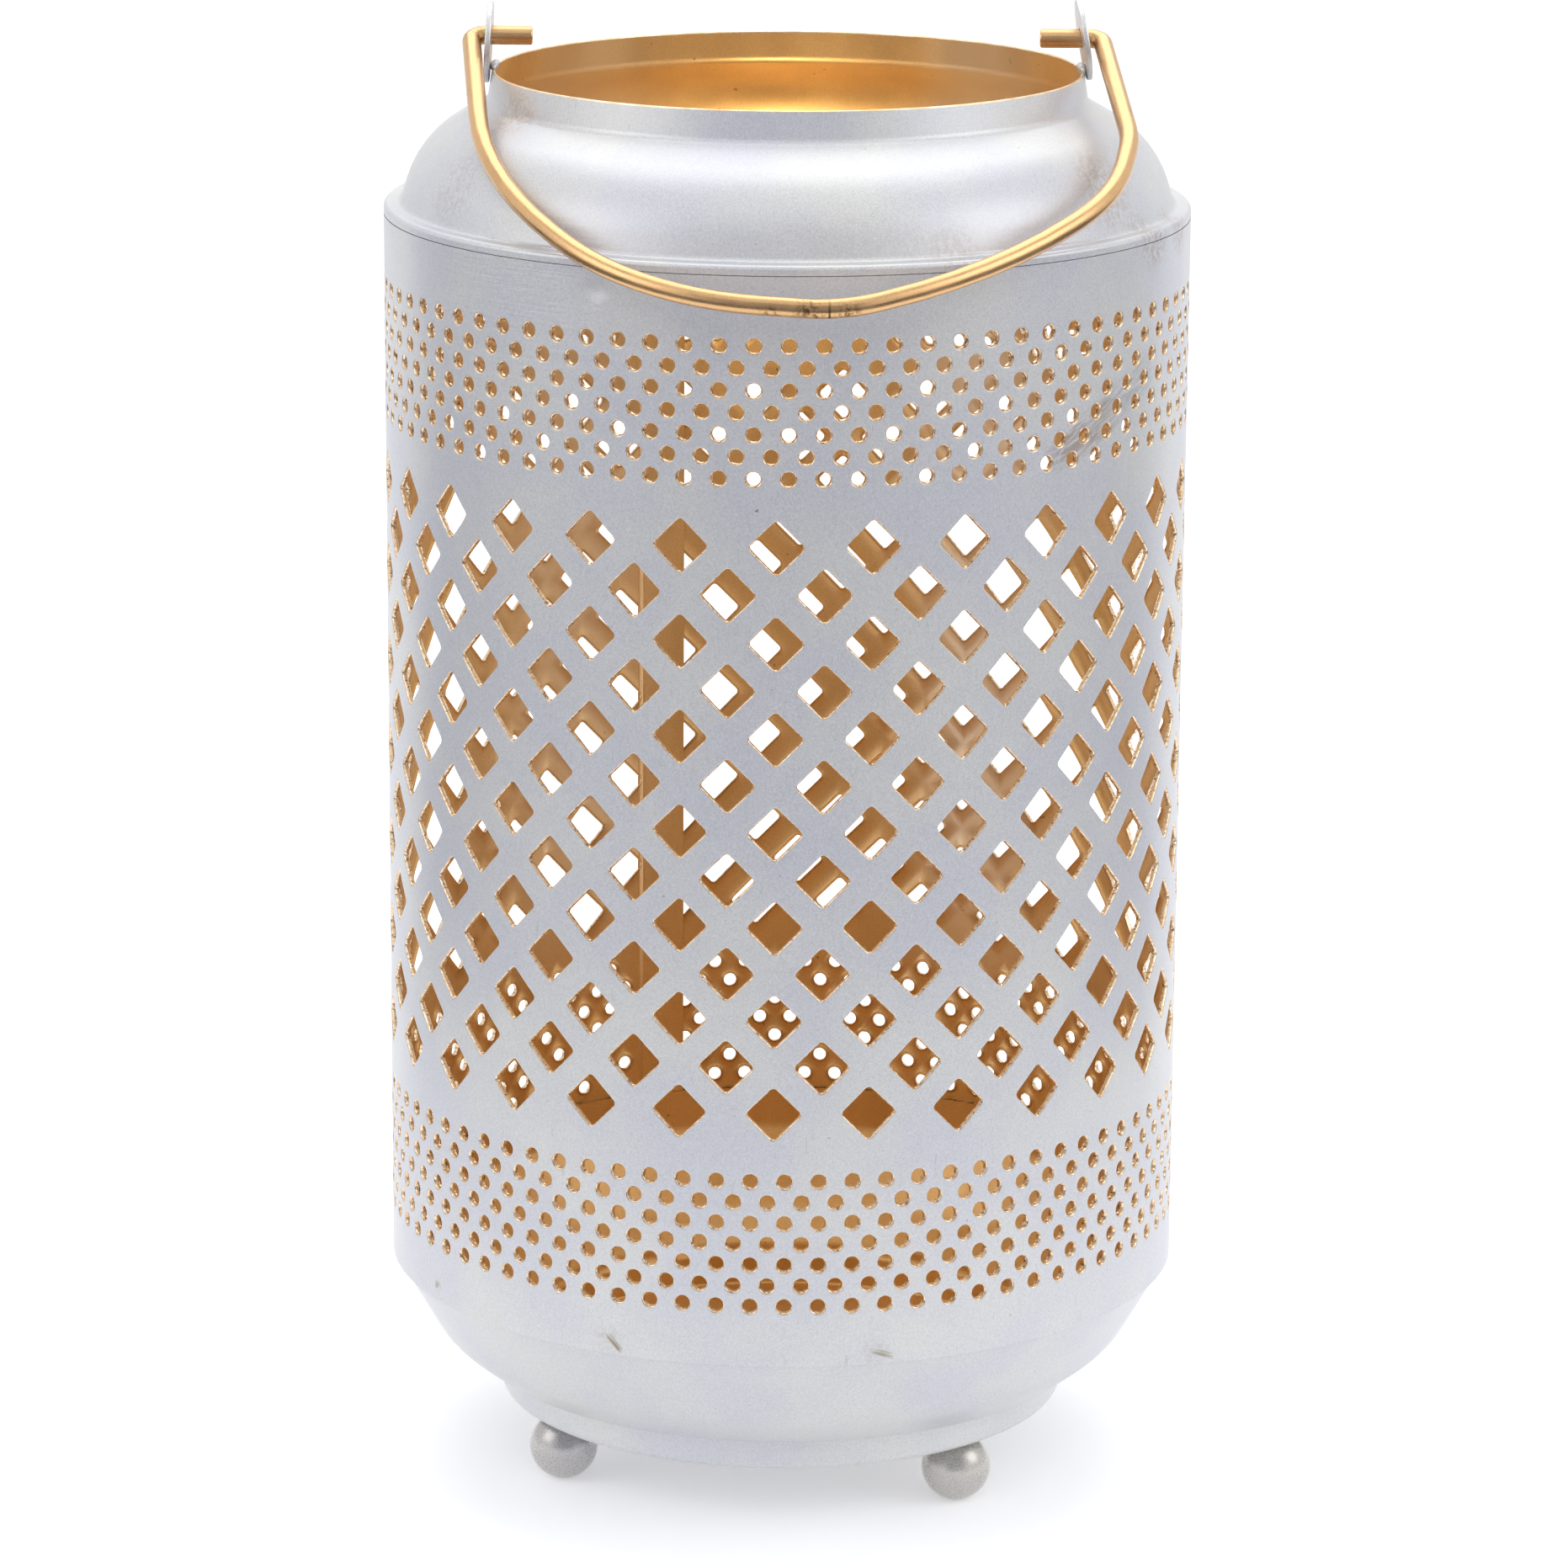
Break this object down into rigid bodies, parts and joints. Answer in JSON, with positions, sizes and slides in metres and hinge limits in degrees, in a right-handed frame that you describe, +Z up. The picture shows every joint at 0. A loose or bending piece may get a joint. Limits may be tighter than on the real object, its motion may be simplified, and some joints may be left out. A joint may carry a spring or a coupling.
{
  "type": "hanging lantern",
  "caption": "Round pierced sheet-metal candle lantern with a domed shoulder, open neck, swinging wire bail and ball feet.",
  "frame": {"origin": "the lantern's vertical axis, on the plane its three feet stand on", "axes": "+Z up along the lantern's axis, X along the bail's pivot with +X to the right seen from the front, and -Y the front, where the bail lies down"},
  "size_m": [0.15, 0.1647, 0.2807],
  "materials": {
    "white_enamel": "pearl white satin paint outside, gold paint inside",
    "silver_ball": "silver pearl paint",
    "solder": "painted over solder",
    "gold_wire": "satin gold"
  },
  "bodies": {
    "lantern": {"body_wall": "white_enamel", "shoulder_collar": "white_enamel", "base_bowl": "white_enamel", "ear_left": "white_enamel", "ear_right": "white_enamel", "ear_solder_left": "solder", "ear_solder_right": "solder", "foot_1": "silver_ball", "foot_2": "silver_ball", "foot_3": "silver_ball", "foot_solder_1": "solder", "foot_solder_2": "solder", "foot_solder_3": "solder"},
    "bail": {"bail_handle": "gold_wire"}
  },
  "joints": [
    {"name": "bail_swing", "type": "hinge", "parent": "lantern", "child": "bail", "pos_m": [0, 0, 0.2734], "axis": [-1, 0, 0], "range_deg": [0, 224]}
  ]
}
